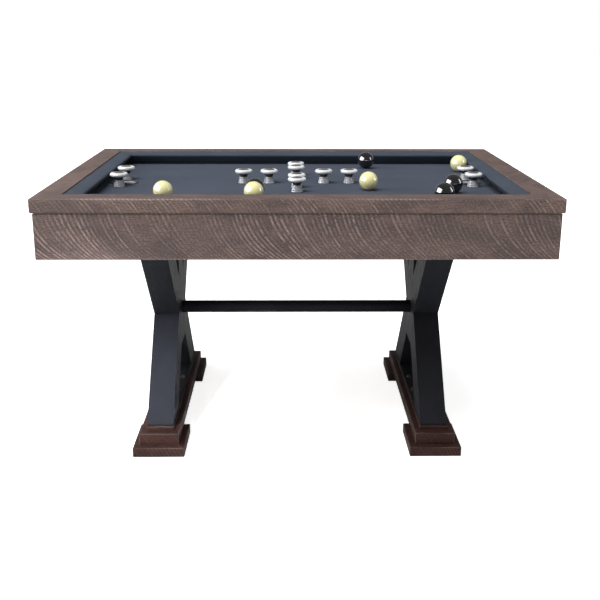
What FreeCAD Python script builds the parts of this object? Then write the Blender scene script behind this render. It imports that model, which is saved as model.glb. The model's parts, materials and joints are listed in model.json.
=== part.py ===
import FreeCAD, Part
import math
import os

# Bumper pool table on two steel X trestles. Millimetres, +Z up.
# Origin: on the floor under the middle of the table. +X is the table's length, -Y its front.

# ---- driving dimensions ----
TABLE_LENGTH = 1422.0          # 56 in over the top rails
TABLE_WIDTH = 1067.0           # 42 in over the top rails
RAIL_TOP_Z = 810.0
RAIL_WIDTH = 72.0
RAIL_THICKNESS = 40.0
RAIL_LOWER_ROUND = 6.0
RAIL_EASED_EDGE = 2.0
RAIL_OVERHANG = 6.0
APRON_THICKNESS = 22.0
APRON_HEIGHT = 127.0
BED_DEPTH = 43.0               # cloth below the top of the rails
APRON_EASED_EDGE = 2.0

CLOTH_THICKNESS = 1.0
BED_THICKNESS = 19.0
BED_EDGE_GAP = 0.5
CUSHION_DEPTH = 47.0
CUSHION_NOSE_RADIUS = 5.0
CUSHION_NOSE_HEIGHT = 31.5     # nose centre above the bed
CUSHION_TOP_SLOPE = 6.0        # degrees, down towards the nose
CUSHION_UNDERCUT = 48.0        # degrees from the bed

POCKET_X = 548.0
POCKET_BORE_RADIUS = 34.0
POCKET_LINER_WALL = 3.0
POCKET_LINER_LENGTH = 28.0
POCKET_FLANGE_RADIUS = 44.0
POCKET_FLANGE_HEIGHT = 2.0
POCKET_LIP_SLOPE = 1.5

BALL_RADIUS = 57.15 / 2        # 2 1/4 in balls
BALL_CLEARANCE = 0.3

BUMPER_NEAR = 87.0             # inner ring of the cross, from the table's centre
BUMPER_FAR = 168.0             # outer ring of the cross
BUMPER_END_X = 553.0
BUMPER_END_Y = 69.0
BASE_HEIGHT = 20.0
BASE_BOTTOM_RADIUS = 17.5
BASE_TOP_RADIUS = 13.0
BASE_RIBS = 4
RIB_GROOVE = 1.2
RIB_FLANK = 0.65               # share of a rib's height that stays full width
RIB_SHOULDER = 0.85
RIB_GROOVE_FLOOR = 0.9
NECK_RADIUS = 11.5
NECK_STRAIGHT = 3.0
DISH_RADIUS = 20.0
DISH_EDGE = 0.8
DISH_BEVEL = 1.4
DISH_BEVEL_RUN = 2.0
RING_HEIGHT_ABOVE_BED = 37.5   # middle of the rubber ring
RING_OUTER_RADIUS = 27.5
RING_INNER_RADIUS = 16.5
RING_THICKNESS = 11.5
RING_ROUND = 4.8
HUB_CLEARANCE = 0.05
CAP_RADIUS = 16.2
CAP_SINK = 4.0                 # the cap's underside below the top of the ring
CAP_EDGE_RISE = 0.6
CAP_TOP_RISE = 3.2
CAP_STEPS = 6
STUD_RADIUS = 3.0
STUD_LENGTH = 68.0

TRESTLE_X = 418.0
STEEL_WALL = 3.0
ARM_WIDTH = 80.0
ARM_DEPTH = 105.0
POST_DEPTH = 116.0
CROSSING_Z = 359.0
CROSSING_HALF_DEPTH = 95.0     # Y of the V between an upper and a lower arm
UPPER_ARM_LEAN = 271.0 / 282.0 # outward run per unit of rise
LOWER_ARM_LEAN = 248.0 / 286.0 # outward run per unit of fall
PLATE_THICKNESS = 5.0
TOP_PLATE_HALF_WIDTH = 50.0
TOP_PLATE_HALF_LENGTH = 445.0
FOOT_PLATE_THICKNESS = 4.0
BEAM_HEIGHT_UNDER_BED = 58.0
CROSS_BEAM_WIDTH = 110.0
BEAM_PILOT_DEPTH = 42.0
JOIST_X = 240.0
JOIST_WIDTH = 45.0
CLEAT_WIDTH = 20.0
CLEAT_HEIGHT = 40.0
CORNER_BLOCK_LEG = 60.0
CORNER_BLOCK_HEIGHT = 95.0

PAD_WIDTH = 156.0
PAD_LENGTH = 180.0
PAD_HEIGHT = 30.0
FOOT_HALF_LENGTH = 401.0
BEAM_WIDTH = 120.0
BEAM_HEIGHT = 36.0
BEAM_SETBACK = 24.0
COLLAR_WIDTH = 86.0
COLLAR_HEIGHT = 9.0
COLLAR_MARGIN = 8.0
FOOT_EASED_EDGE = 3.0
FOOT_PILOT_FLOOR = 3.0

STRETCHER_Z = 355.0
STRETCHER_RADIUS = 20.0
STRETCHER_WALL = 2.5
PLUG_LENGTH = 38.0
PLUG_CLEARANCE = 0.05
PLUG_BOLT_SHORT = 4.0          # the bolt ends this far before the plug's inner face

TRAY_WALL = 5.0
TRAY_HALF_WIDTH = 48.0
TRAY_INNER_END_X = 505.0
TRAY_SLOPE = 3.0               # degrees, down towards the end apron
TRAY_LOW_FLOOR_Z = 668.0
TAB_THICKNESS = 4.0
TAB_WIDTH = 17.0
SIDE_TAB_X = (585.0, 680.0)
END_TAB_HALF_LENGTH = 30.0
WINDOW_BOTTOM_Z = 684.0
WINDOW_TOP_Z = 746.0
WINDOW_CORNER = 12.0

BOLT_CLEARANCE = 0.2
M6 = {"shank": 3.0, "flats": 10.0, "head": 4.0, "washer": 9.0, "washer_height": 1.5}
M8 = {"shank": 4.0, "flats": 13.0, "head": 5.5, "washer": 8.5, "washer_height": 1.5}
M12 = {"shank": 6.0, "flats": 19.0, "head": 7.5, "washer": 14.0, "washer_height": 2.5}
SCREW = {"shank": 2.0, "head_radius": 4.0, "crown_radius": 2.4, "head": 2.2, "length": 16.0}
RAIL_BOLT_INSET = 58.0
RAIL_BOLT_DEPTH = 25.0
LONG_RAIL_BOLT_X = (120.0, 310.0, 560.0)
SHORT_RAIL_BOLT_Y = (180.0, 360.0)
TRESTLE_BOLT_LENGTH = 45.0
TRESTLE_BOLT_DX = 25.0
TRESTLE_BOLT_Y = (160.0, 428.0)
FOOT_BOLT_LENGTH = 44.0
FOOT_BOLT_DX = 26.0
FOOT_BOLT_Y = 60.0
TRAY_SCREW_X = (600.0, 665.0)
DRILL_OVERRUN = 1.0
HOLLOW_OVERRUN = 60.0

# ---- derived places ----
HALF_LENGTH = TABLE_LENGTH / 2
HALF_WIDTH = TABLE_WIDTH / 2
APRON_TOP_Z = RAIL_TOP_Z - RAIL_THICKNESS
BED_Z = RAIL_TOP_Z - BED_DEPTH
BOARD_TOP_Z = BED_Z - CLOTH_THICKNESS
BOARD_BOTTOM_Z = BOARD_TOP_Z - BED_THICKNESS
APRON_BOTTOM_Z = APRON_TOP_Z - APRON_HEIGHT
APRON_INNER = RAIL_OVERHANG + APRON_THICKNESS
INNER_HALF_LENGTH = HALF_LENGTH - APRON_INNER
INNER_HALF_WIDTH = HALF_WIDTH - APRON_INNER
CLEAT_HALF_Y = INNER_HALF_WIDTH - CLEAT_WIDTH
TOP_PLATE_TOP_Z = BOARD_BOTTOM_Z - BEAM_HEIGHT_UNDER_BED
TOP_PLATE_BOTTOM_Z = TOP_PLATE_TOP_Z - PLATE_THICKNESS
FOOT_BEAM_TOP_Z = PAD_HEIGHT + BEAM_HEIGHT
COLLAR_TOP_Z = FOOT_BEAM_TOP_Z + COLLAR_HEIGHT
FOOT_PLATE_TOP_Z = COLLAR_TOP_Z + FOOT_PLATE_THICKNESS
BALL_Z = BED_Z + BALL_RADIUS + BALL_CLEARANCE
RING_Z = BED_Z + RING_HEIGHT_ABOVE_BED
RING_LOW_Z = RING_Z - RING_THICKNESS / 2
RING_TOP_Z = RING_Z + RING_THICKNESS / 2
SIDES = {"left": -1, "right": 1}
UP = FreeCAD.Vector(0, 0, 1)
ALONG_X = FreeCAD.Vector(1, 0, 0)
ALONG_Y = FreeCAD.Vector(0, 1, 0)
ORIGIN = FreeCAD.Vector(0, 0, 0)

BUMPERS = (
    [(s * d, 0.0) for s in (-1, 1) for d in (BUMPER_NEAR, BUMPER_FAR)]
    + [(0.0, s * d) for s in (-1, 1) for d in (BUMPER_NEAR, BUMPER_FAR)]
    + [(sx * BUMPER_END_X, sy * BUMPER_END_Y) for sx in (-1, 1) for sy in (-1, 1)]
)
RAIL_BOLTS = (
    [(sx * x, sy * (HALF_WIDTH - RAIL_BOLT_INSET)) for sx in (-1, 1) for sy in (-1, 1)
     for x in LONG_RAIL_BOLT_X]
    + [(sx * (HALF_LENGTH - RAIL_BOLT_INSET), sy * y) for sx in (-1, 1) for sy in (-1, 1)
       for y in SHORT_RAIL_BOLT_Y]
)
TRESTLE_BOLTS = [(s * TRESTLE_X + sx * TRESTLE_BOLT_DX, sy * y) for s in (-1, 1)
                 for sx in (-1, 1) for sy in (-1, 1) for y in TRESTLE_BOLT_Y]
FOOT_BOLTS = [(s * TRESTLE_X + sx * FOOT_BOLT_DX, sy * FOOT_BOLT_Y) for s in (-1, 1)
              for sx in (-1, 1) for sy in (-1, 1)]
TRAY_SCREWS = [(s * x, sy * (TRAY_HALF_WIDTH + TRAY_WALL + TAB_WIDTH / 2))
               for s in (-1, 1) for x in TRAY_SCREW_X for sy in (-1, 1)]
TRAY_SCREWS += [(s * (TRAY_INNER_END_X - TRAY_WALL - TAB_WIDTH / 2), 0.0) for s in (-1, 1)]

# Balls in play: name -> centre on the bed. One ball of each colour lies in a tray.
BED_BALLS = {
    "yellow_ball_1": (-385.0, -316.5),
    "yellow_ball_2": (-125.0, -331.5),
    "yellow_ball_3": (218.5, -140.5),
    "yellow_ball_4": (562.5, 244.4),
    "black_ball_1": (248.0, 321.0),
    "black_ball_2": (469.0, -193.0),
    "black_ball_3": (417.0, -349.0),
    "black_ball_4": (-123.0, -271.0),
}
TRAY_BALLS = {"yellow_ball_5": "left", "black_ball_5": "right"}


# ---- basic shapes ----
def box(x0, x1, y0, y1, z0, z1):
    return Part.makeBox(x1 - x0, y1 - y0, z1 - z0, FreeCAD.Vector(x0, y0, z0))


def cylinder(x, y, z0, z1, radius):
    return Part.makeCylinder(radius, z1 - z0, FreeCAD.Vector(x, y, z0))


def hexagon(x, y, z0, z1, flats):
    corner = flats / math.sqrt(3)
    points = [FreeCAD.Vector(x + corner * math.cos(a), y + corner * math.sin(a), z0)
              for a in [math.radians(60 * k) for k in range(7)]]
    return Part.Face(Part.makePolygon(points)).extrude(UP * (z1 - z0))


def prism_along_x(points_yz, x0, x1):
    points = [FreeCAD.Vector(x0, y, z) for y, z in points_yz]
    face = Part.Face(Part.makePolygon(points + points[:1]))
    return face.extrude(ALONG_X * (x1 - x0))


def revolved(points_rz, x, y):
    points = [FreeCAD.Vector(r, 0, z) for r, z in points_rz]
    face = Part.Face(Part.makePolygon(points + points[:1]))
    solid = face.revolve(ORIGIN, UP, 360)
    solid.translate(FreeCAD.Vector(x, y, 0))
    return solid


def drilled(shape, places, z0, z1, radius):
    return shape.cut([cylinder(x, y, z0, z1, radius) for x, y in places])


def edges_along(shape, direction):
    """The straight edges that run along an axis of the frame."""
    return [e for e in shape.Edges if abs(e.tangentAt(e.FirstParameter).dot(direction)) > 0.99]


def eased_box(x0, x1, y0, y1, z0, z1, ease):
    """A box whose upright edges are chamfered by ease."""
    solid = box(x0, x1, y0, y1, z0, z1)
    return solid.makeChamfer(ease, edges_along(solid, UP))


def turned(shape, angle):
    copy = shape.copy()
    copy.rotate(ORIGIN, UP, angle)
    return copy


def export(node, shape):
    solids = shape if isinstance(shape, list) else [shape]
    solids = [s for piece in solids for s in piece.Solids]
    for solid in solids:
        if not solid.isValid() or solid.Volume <= 0:
            raise ValueError("bad solid in " + node)
    whole = solids[0] if len(solids) == 1 else Part.makeCompound(solids)
    whole.exportStep("parts/" + node + ".step")
    print(node, len(solids), round(sum(s.Volume for s in solids) / 1000, 1), "cm3")


# ---- wooden frame: four mitred bars of one profile ----
def mitred_bar(profile_face, half_length, half_width, depth):
    """The front bar of a mitred frame. The profile lies in YZ with Y as inset from the outside."""
    face = profile_face.copy()
    face.translate(FreeCAD.Vector(-half_length, -half_width, 0))
    bar = face.extrude(ALONG_X * (2 * half_length))
    corners = [(-half_length, 0.0), (half_length, 0.0),
               (half_length - depth, depth), (-half_length + depth, depth)]
    points = [FreeCAD.Vector(x, y - half_width, 0) for x, y in corners]
    trapezoid = Part.Face(Part.makePolygon(points + points[:1])).extrude(UP * (2 * RAIL_TOP_Z))
    return bar.common(trapezoid)


def frame_bars(profile_face, depth):
    long_bar = mitred_bar(profile_face, HALF_LENGTH, HALF_WIDTH, depth)
    short_bar = mitred_bar(profile_face, HALF_WIDTH, HALF_LENGTH, depth)
    return {"front": long_bar, "back": turned(long_bar, 180),
            "right": turned(short_bar, 90), "left": turned(short_bar, -90)}


def inset_point(inset, z):
    return FreeCAD.Vector(0, inset, z)


def line(a, b):
    return Part.LineSegment(inset_point(*a), inset_point(*b)).toShape()


def corner_arc(a, b, centre, radius):
    mid_angle = math.atan2(a[1] + b[1] - 2 * centre[1], a[0] + b[0] - 2 * centre[0])
    mid = (centre[0] + radius * math.cos(mid_angle), centre[1] + radius * math.sin(mid_angle))
    return Part.Arc(inset_point(*a), inset_point(*mid), inset_point(*b)).toShape()


def rail_profile():
    low, top = APRON_TOP_Z, RAIL_TOP_Z
    r, e = RAIL_LOWER_ROUND, RAIL_EASED_EDGE
    edges = [
        line((0, low + r), (0, top - e)),
        corner_arc((0, top - e), (e, top), (e, top - e), e),
        line((e, top), (RAIL_WIDTH - e, top)),
        corner_arc((RAIL_WIDTH - e, top), (RAIL_WIDTH, top - e), (RAIL_WIDTH - e, top - e), e),
        line((RAIL_WIDTH, top - e), (RAIL_WIDTH, BED_Z)),
        line((RAIL_WIDTH, BED_Z), (APRON_INNER, BED_Z)),
        line((APRON_INNER, BED_Z), (APRON_INNER, low)),
        line((APRON_INNER, low), (r, low)),
        corner_arc((r, low), (0, low + r), (r, low + r), r),
    ]
    return Part.Face(Part.Wire(edges))


def apron_profile():
    outer, inner = RAIL_OVERHANG, APRON_INNER
    low, e = APRON_BOTTOM_Z, APRON_EASED_EDGE
    points = [(outer, APRON_TOP_Z), (inner, APRON_TOP_Z), (inner, low + e), (inner - e, low),
              (outer + e, low), (outer, low + e)]
    wire = Part.makePolygon([inset_point(*p) for p in points + points[:1]])
    return Part.Face(wire)


def cushion_profile(skin):
    """The cushion's section, its cloth side moved inwards by skin."""
    radius = CUSHION_NOSE_RADIUS - skin
    centre = (RAIL_WIDTH + CUSHION_DEPTH - CUSHION_NOSE_RADIUS, BED_Z + CUSHION_NOSE_HEIGHT)
    slope, undercut = math.radians(CUSHION_TOP_SLOPE), math.radians(CUSHION_UNDERCUT)
    upper = (centre[0] + radius * math.sin(slope), centre[1] + radius * math.cos(slope))
    under = (centre[0] + radius * math.sin(undercut), centre[1] - radius * math.cos(undercut))
    back = (RAIL_WIDTH, upper[1] + (upper[0] - RAIL_WIDTH) * math.tan(slope))
    foot = (under[0] - (under[1] - BED_Z) / math.tan(undercut), BED_Z)
    heel = (RAIL_WIDTH, BED_Z)
    edges = [line(heel, back), line(back, upper), corner_arc(upper, under, centre, radius),
             line(under, foot), line(foot, heel)]
    return Part.Face(Part.Wire(edges))


def make_rails():
    top = BED_Z + RAIL_BOLT_DEPTH + DRILL_OVERRUN
    holes = [cylinder(x, y, BED_Z, top, M8["shank"] + BOLT_CLEARANCE)
             for x, y in RAIL_BOLTS]
    for side, bar in frame_bars(rail_profile(), RAIL_WIDTH).items():
        export("rail_" + side, bar.cut(holes))


def return_window():
    """The opening in an end apron that the potted balls are taken out of, for the right end."""
    solid = box(INNER_HALF_LENGTH - DRILL_OVERRUN, HALF_LENGTH, -TRAY_HALF_WIDTH, TRAY_HALF_WIDTH,
                WINDOW_BOTTOM_Z, WINDOW_TOP_Z)
    return solid.makeFillet(WINDOW_CORNER, edges_along(solid, ALONG_X))


def make_aprons():
    bars = frame_bars(apron_profile(), APRON_INNER)
    bars["right"] = bars["right"].cut(return_window())
    bars["left"] = bars["left"].cut(turned(return_window(), 180))
    for side, bar in bars.items():
        export("apron_" + side, bar)


def make_cushions():
    depth = RAIL_WIDTH + CUSHION_DEPTH
    rubber_face = cushion_profile(CLOTH_THICKNESS)
    for side, bar in frame_bars(rubber_face, depth).items():
        export("cushion_rubber_" + side, bar)
    cloth_face = cushion_profile(0.0).cut(rubber_face).Faces[0]
    export("cushion_cloth", list(frame_bars(cloth_face, depth).values()))


# ---- bed and what carries it ----
def bed_layer(z0, z1):
    half_x, half_y = INNER_HALF_LENGTH - BED_EDGE_GAP, INNER_HALF_WIDTH - BED_EDGE_GAP
    pockets = [(s * POCKET_X, 0.0) for s in (-1, 1)]
    throat = POCKET_BORE_RADIUS + POCKET_LINER_WALL + BOLT_CLEARANCE
    layer = box(-half_x, half_x, -half_y, half_y, z0, z1)
    layer = drilled(layer, pockets, z0, z1, throat)
    layer = drilled(layer, BUMPERS, z0, z1, M6["shank"] + BOLT_CLEARANCE)
    return drilled(layer, RAIL_BOLTS, z0, z1, M8["shank"] + BOLT_CLEARANCE)


def make_bed():
    export("bed_cloth", bed_layer(BOARD_TOP_Z, BED_Z))
    board = bed_layer(BOARD_BOTTOM_Z, BOARD_TOP_Z)
    pilot_top = BOARD_BOTTOM_Z - TAB_THICKNESS + SCREW["length"]
    export("bed_board", drilled(board, TRAY_SCREWS, BOARD_BOTTOM_Z, pilot_top,
                                SCREW["shank"] + BOLT_CLEARANCE))


def make_carcass():
    beams = [(s * TRESTLE_X, CROSS_BEAM_WIDTH / 2) for s in (-1, 1)]
    beams += [(s * JOIST_X, JOIST_WIDTH / 2) for s in (-1, 1)]
    beams = [box(x - w, x + w, -CLEAT_HALF_Y, CLEAT_HALF_Y, TOP_PLATE_TOP_Z, BOARD_BOTTOM_Z)
             for x, w in beams]
    pilot = M8["shank"] + BOLT_CLEARANCE
    pilot_top = TOP_PLATE_TOP_Z + BEAM_PILOT_DEPTH
    export("cross_beams", [drilled(b, TRESTLE_BOLTS, TOP_PLATE_TOP_Z, pilot_top, pilot)
                           for b in beams])
    cleat_end = INNER_HALF_LENGTH - CORNER_BLOCK_LEG
    cleat = box(-cleat_end, cleat_end, CLEAT_HALF_Y, INNER_HALF_WIDTH,
                BOARD_BOTTOM_Z - CLEAT_HEIGHT, BOARD_BOTTOM_Z)
    export("bed_cleats", [cleat, turned(cleat, 180)])
    export("corner_blocks", [corner_block(sx, sy) for sx in (-1, 1) for sy in (-1, 1)])


def corner_block(side_x, side_y):
    x, y = side_x * INNER_HALF_LENGTH, side_y * INNER_HALF_WIDTH
    z = BOARD_BOTTOM_Z - CORNER_BLOCK_HEIGHT
    points = [FreeCAD.Vector(x, y, z), FreeCAD.Vector(x - side_x * CORNER_BLOCK_LEG, y, z),
              FreeCAD.Vector(x, y - side_y * CORNER_BLOCK_LEG, z)]
    face = Part.Face(Part.makePolygon(points + points[:1]))
    return face.extrude(UP * CORNER_BLOCK_HEIGHT)


# ---- pockets and ball trays ----
def pocket_liner(side):
    x = side * POCKET_X
    bore, wall = POCKET_BORE_RADIUS, POCKET_LINER_WALL
    top, flange = BED_Z + POCKET_FLANGE_HEIGHT, POCKET_FLANGE_RADIUS
    points = [(bore, BED_Z - POCKET_LINER_LENGTH), (bore + wall, BED_Z - POCKET_LINER_LENGTH),
              (bore + wall, BED_Z), (flange, BED_Z), (flange - POCKET_LIP_SLOPE, top),
              (bore + POCKET_LIP_SLOPE, top), (bore, BED_Z)]
    return revolved(points, x, 0.0)


def ball_tray():
    """The tray under the right pocket. It slopes down to the end apron and is open there."""
    x0, x1 = TRAY_INNER_END_X, INNER_HALF_LENGTH
    half, wall, top = TRAY_HALF_WIDTH, TRAY_WALL, BOARD_BOTTOM_Z
    rise = (x1 - x0) * math.tan(math.radians(TRAY_SLOPE))
    low = TRAY_LOW_FLOOR_Z
    outer = [(x0 - wall, low + rise - wall), (x1, low - wall), (x1, top), (x0 - wall, top)]
    inner = [(x0, low + rise), (x1, low), (x1, top), (x0, top)]
    tray = prism_along_y(outer, -half - wall, half + wall)
    tabs = [box(*SIDE_TAB_X, y, y + TAB_WIDTH, top - TAB_THICKNESS, top)
            for y in (-half - wall - TAB_WIDTH, half + wall)]
    tabs.append(box(x0 - wall - TAB_WIDTH, x0 - wall, -END_TAB_HALF_LENGTH,
                    END_TAB_HALF_LENGTH, top - TAB_THICKNESS, top))
    tray = tray.fuse(tabs).cut(prism_along_y(inner, -half, half)).removeSplitter()
    holes = [(x, y) for x, y in TRAY_SCREWS if x > 0]
    return drilled(tray, holes, top - TAB_THICKNESS, top, SCREW["shank"] + BOLT_CLEARANCE)


def prism_along_y(points_xz, y0, y1):
    points = [FreeCAD.Vector(x, y0, z) for x, z in points_xz]
    face = Part.Face(Part.makePolygon(points + points[:1]))
    return face.extrude(FreeCAD.Vector(0, y1 - y0, 0))


def tray_screw(x, y):
    under = BOARD_BOTTOM_Z - TAB_THICKNESS
    crown = under - SCREW["head"]
    head = revolved([(0, crown), (SCREW["crown_radius"], crown), (SCREW["head_radius"], under),
                     (0, under)], x, y)
    tip = under + SCREW["length"] - DRILL_OVERRUN
    return head.fuse(cylinder(x, y, under, tip, SCREW["shank"]))


def make_pockets():
    export("pocket_liners", [pocket_liner(s) for s in SIDES.values()])
    tray = ball_tray()
    export("ball_tray_right", tray)
    export("ball_tray_left", turned(tray, 180))
    export("tray_screws", [tray_screw(x, y) for x, y in TRAY_SCREWS])


# ---- bumpers ----
def base_outline():
    """A turned base that narrows upwards in ribs. Radius and height pairs."""
    bore, top = STUD_RADIUS + BOLT_CLEARANCE, BED_Z + BASE_HEIGHT
    points = [(bore, BED_Z), (BASE_BOTTOM_RADIUS, BED_Z)]
    rib = BASE_HEIGHT / BASE_RIBS
    taper = (BASE_BOTTOM_RADIUS - BASE_TOP_RADIUS) / BASE_RIBS
    for k in range(BASE_RIBS):
        z = BED_Z + k * rib
        radius, shoulder = BASE_BOTTOM_RADIUS - k * taper, BASE_BOTTOM_RADIUS - (k + 1) * taper
        points += [(radius, z + RIB_FLANK * rib), (shoulder, z + RIB_SHOULDER * rib),
                   (shoulder - RIB_GROOVE, z + RIB_GROOVE_FLOOR * rib), (shoulder, z + rib)]
    return points[:-1] + [(points[-2][0], top), (bore, top)]


def head_outline():
    """The dark spool: a neck, a dish under the ring and the hub that the ring sits on."""
    bore, bottom = STUD_RADIUS + BOLT_CLEARANCE, BED_Z + BASE_HEIGHT
    low, cap_floor = RING_LOW_Z, RING_TOP_Z - CAP_SINK
    hub = RING_INNER_RADIUS - HUB_CLEARANCE
    return [(bore, bottom), (NECK_RADIUS, bottom), (NECK_RADIUS, bottom + NECK_STRAIGHT),
            (DISH_RADIUS - DISH_BEVEL_RUN, low - DISH_EDGE - DISH_BEVEL),
            (DISH_RADIUS, low - DISH_EDGE), (DISH_RADIUS, low), (hub, low),
            (hub, cap_floor), (bore, cap_floor)]


def rubber_ring(x, y):
    ring = cylinder(x, y, RING_LOW_Z, RING_TOP_Z, RING_OUTER_RADIUS)
    ring = ring.makeFillet(RING_ROUND, [e for e in ring.Edges if len(e.Vertexes) == 1])
    return drilled(ring, [(x, y)], RING_LOW_Z, RING_TOP_Z, RING_INNER_RADIUS)


def cap_outline():
    """A shallow dome that fills the ring's hole and stands a little proud of it."""
    low, edge, fall = RING_TOP_Z - CAP_SINK, RING_TOP_Z + CAP_EDGE_RISE, CAP_TOP_RISE - CAP_EDGE_RISE
    shares = [k / CAP_STEPS for k in range(CAP_STEPS, -1, -1)]
    dome = [(CAP_RADIUS * share, edge + fall * (1 - share ** 2)) for share in shares]
    return [(0, low), (CAP_RADIUS, low)] + dome


def bumper_stud(x, y):
    """A threaded stud through base, cloth and board, held below by a washer and a nut."""
    under = BOARD_BOTTOM_Z
    stud = cylinder(x, y, RING_Z - STUD_LENGTH, RING_Z, STUD_RADIUS)
    washer = cylinder(x, y, under - M6["washer_height"], under, M6["washer"])
    nut = hexagon(x, y, under - M6["washer_height"] - M6["head"], under - M6["washer_height"],
                  M6["flats"])
    return stud.fuse([washer, nut])


def make_bumpers():
    export("bumper_bases", [revolved(base_outline(), x, y) for x, y in BUMPERS])
    export("bumper_heads", [revolved(head_outline(), x, y) for x, y in BUMPERS])
    export("bumper_rings", [rubber_ring(x, y) for x, y in BUMPERS])
    export("bumper_caps", [revolved(cap_outline(), x, y) for x, y in BUMPERS])
    export("bumper_studs", [bumper_stud(x, y) for x, y in BUMPERS])


# ---- steel trestles ----
def arm_section(lean, direction, end_z):
    """Outline of a front arm in YZ, and of its hollow. Y is the distance from the post's axis."""
    length = math.hypot(lean, 1.0)
    run, rise = lean / length, direction / length
    inward = (-abs(rise), direction * run)
    corner = (CROSSING_HALF_DEPTH, CROSSING_Z)

    def at_z(offset, z):
        y0, z0 = corner[0] + inward[0] * offset, corner[1] + inward[1] * offset
        return (y0 + (z - z0) * direction * lean, z)

    def at_post(offset):
        y0, z0 = corner[0] + inward[0] * offset, corner[1] + inward[1] * offset
        return (POST_DEPTH / 2, z0 + (POST_DEPTH / 2 - y0) * direction / lean)

    outline = [(POST_DEPTH / 2, CROSSING_Z), corner, at_z(0, end_z), at_z(ARM_DEPTH, end_z),
               at_post(ARM_DEPTH)]
    beyond = end_z + direction * HOLLOW_OVERRUN
    before = CROSSING_Z - direction * HOLLOW_OVERRUN
    hollow = [at_z(STEEL_WALL, before), at_z(STEEL_WALL, beyond),
              at_z(ARM_DEPTH - STEEL_WALL, beyond), at_z(ARM_DEPTH - STEEL_WALL, before)]
    return outline, hollow


def arm(side, front, lean, direction, end_z):
    outline, hollow = arm_section(lean, direction, end_z)
    x, half = side * TRESTLE_X, ARM_WIDTH / 2
    solid = prism_along_x([(front * y, z) for y, z in outline], x - half, x + half)
    inside = prism_along_x([(front * y, z) for y, z in hollow],
                           x - half + STEEL_WALL, x + half - STEEL_WALL)
    return solid.cut(inside)


def post(side):
    x, half, depth = side * TRESTLE_X, ARM_WIDTH / 2, POST_DEPTH / 2
    outline, _ = arm_section(LOWER_ARM_LEAN, -1, FOOT_PLATE_TOP_Z)
    bottom = outline[-1][1]
    solid = box(x - half, x + half, -depth, depth, bottom, TOP_PLATE_BOTTOM_Z)
    inside = box(x - half + STEEL_WALL, x + half - STEEL_WALL, -depth + STEEL_WALL,
                 depth - STEEL_WALL, bottom + STEEL_WALL, TOP_PLATE_BOTTOM_Z)
    hole = Part.makeCylinder(M12["shank"] + BOLT_CLEARANCE, ARM_WIDTH,
                             FreeCAD.Vector(x - half, 0, STRETCHER_Z), ALONG_X)
    return solid.cut([inside, hole])


def hex_bolt(x, y, seat_z, length, size, upwards):
    """A hexagon-headed bolt with its washer under the head, driven up or down from seat_z."""
    sign = 1 if upwards else -1
    washer_z = seat_z - sign * size["washer_height"]
    head_z = washer_z - sign * size["head"]
    shank_z = seat_z + sign * length
    shank = cylinder(x, y, min(washer_z, shank_z), max(washer_z, shank_z), size["shank"])
    washer = cylinder(x, y, min(seat_z, washer_z), max(seat_z, washer_z), size["washer"])
    head = hexagon(x, y, min(washer_z, head_z), max(washer_z, head_z), size["flats"])
    return shank.fuse([washer, head])


def drilled_plates(half_width, half_length, z0, z1, places):
    """The same plate under both ends of the table."""
    plate = box(TRESTLE_X - half_width, TRESTLE_X + half_width, -half_length, half_length, z0, z1)
    plate = drilled(plate, places, z0, z1, M8["shank"] + BOLT_CLEARANCE)
    return [plate, turned(plate, 180)]


def make_trestles():
    for name, side in SIDES.items():
        export(name + "_post", post(side))
        for end, front in (("front", -1), ("rear", 1)):
            export(name + "_upper_" + end + "_arm",
                   arm(side, front, UPPER_ARM_LEAN, 1, TOP_PLATE_BOTTOM_Z))
            export(name + "_lower_" + end + "_arm",
                   arm(side, front, LOWER_ARM_LEAN, -1, FOOT_PLATE_TOP_Z))
    export("top_plates", drilled_plates(TOP_PLATE_HALF_WIDTH, TOP_PLATE_HALF_LENGTH,
                                        TOP_PLATE_BOTTOM_Z, TOP_PLATE_TOP_Z, TRESTLE_BOLTS))
    export("foot_plates", drilled_plates(ARM_WIDTH / 2, foot_reach(),
                                         COLLAR_TOP_Z, FOOT_PLATE_TOP_Z, FOOT_BOLTS))
    export("trestle_bolts", [hex_bolt(x, y, TOP_PLATE_BOTTOM_Z, TRESTLE_BOLT_LENGTH, M8, True)
                             for x, y in TRESTLE_BOLTS])
    export("foot_bolts", [hex_bolt(x, y, FOOT_PLATE_TOP_Z, FOOT_BOLT_LENGTH, M8, False)
                          for x, y in FOOT_BOLTS])


def foot_reach():
    outline, _ = arm_section(LOWER_ARM_LEAN, -1, FOOT_PLATE_TOP_Z)
    return outline[2][0]


def make_stretcher():
    reach = TRESTLE_X - ARM_WIDTH / 2
    start = FreeCAD.Vector(-reach, 0, STRETCHER_Z)
    tube = Part.makeCylinder(STRETCHER_RADIUS, 2 * reach, start, ALONG_X)
    bore = STRETCHER_RADIUS - STRETCHER_WALL
    export("stretcher_tube", tube.cut(Part.makeCylinder(bore, 2 * reach, start, ALONG_X)))
    plugs, bolts = [], []
    for side in SIDES.values():
        inward = FreeCAD.Vector(-side, 0, 0)
        end = FreeCAD.Vector(side * reach, 0, STRETCHER_Z)
        plug = Part.makeCylinder(bore - PLUG_CLEARANCE, PLUG_LENGTH, end, inward)
        hole = Part.makeCylinder(M12["shank"] + PLUG_CLEARANCE, PLUG_LENGTH, end, inward)
        plugs.append(plug.cut(hole))
        bolt = hex_bolt(0, 0, 0, ARM_WIDTH + PLUG_LENGTH - PLUG_BOLT_SHORT, M12, True)
        bolt.rotate(ORIGIN, ALONG_Y, -90 * side)
        bolt.translate(FreeCAD.Vector(side * (TRESTLE_X + ARM_WIDTH / 2), 0, STRETCHER_Z))
        bolts.append(bolt)
    export("stretcher_plugs", plugs)
    export("stretcher_bolts", bolts)


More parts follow.
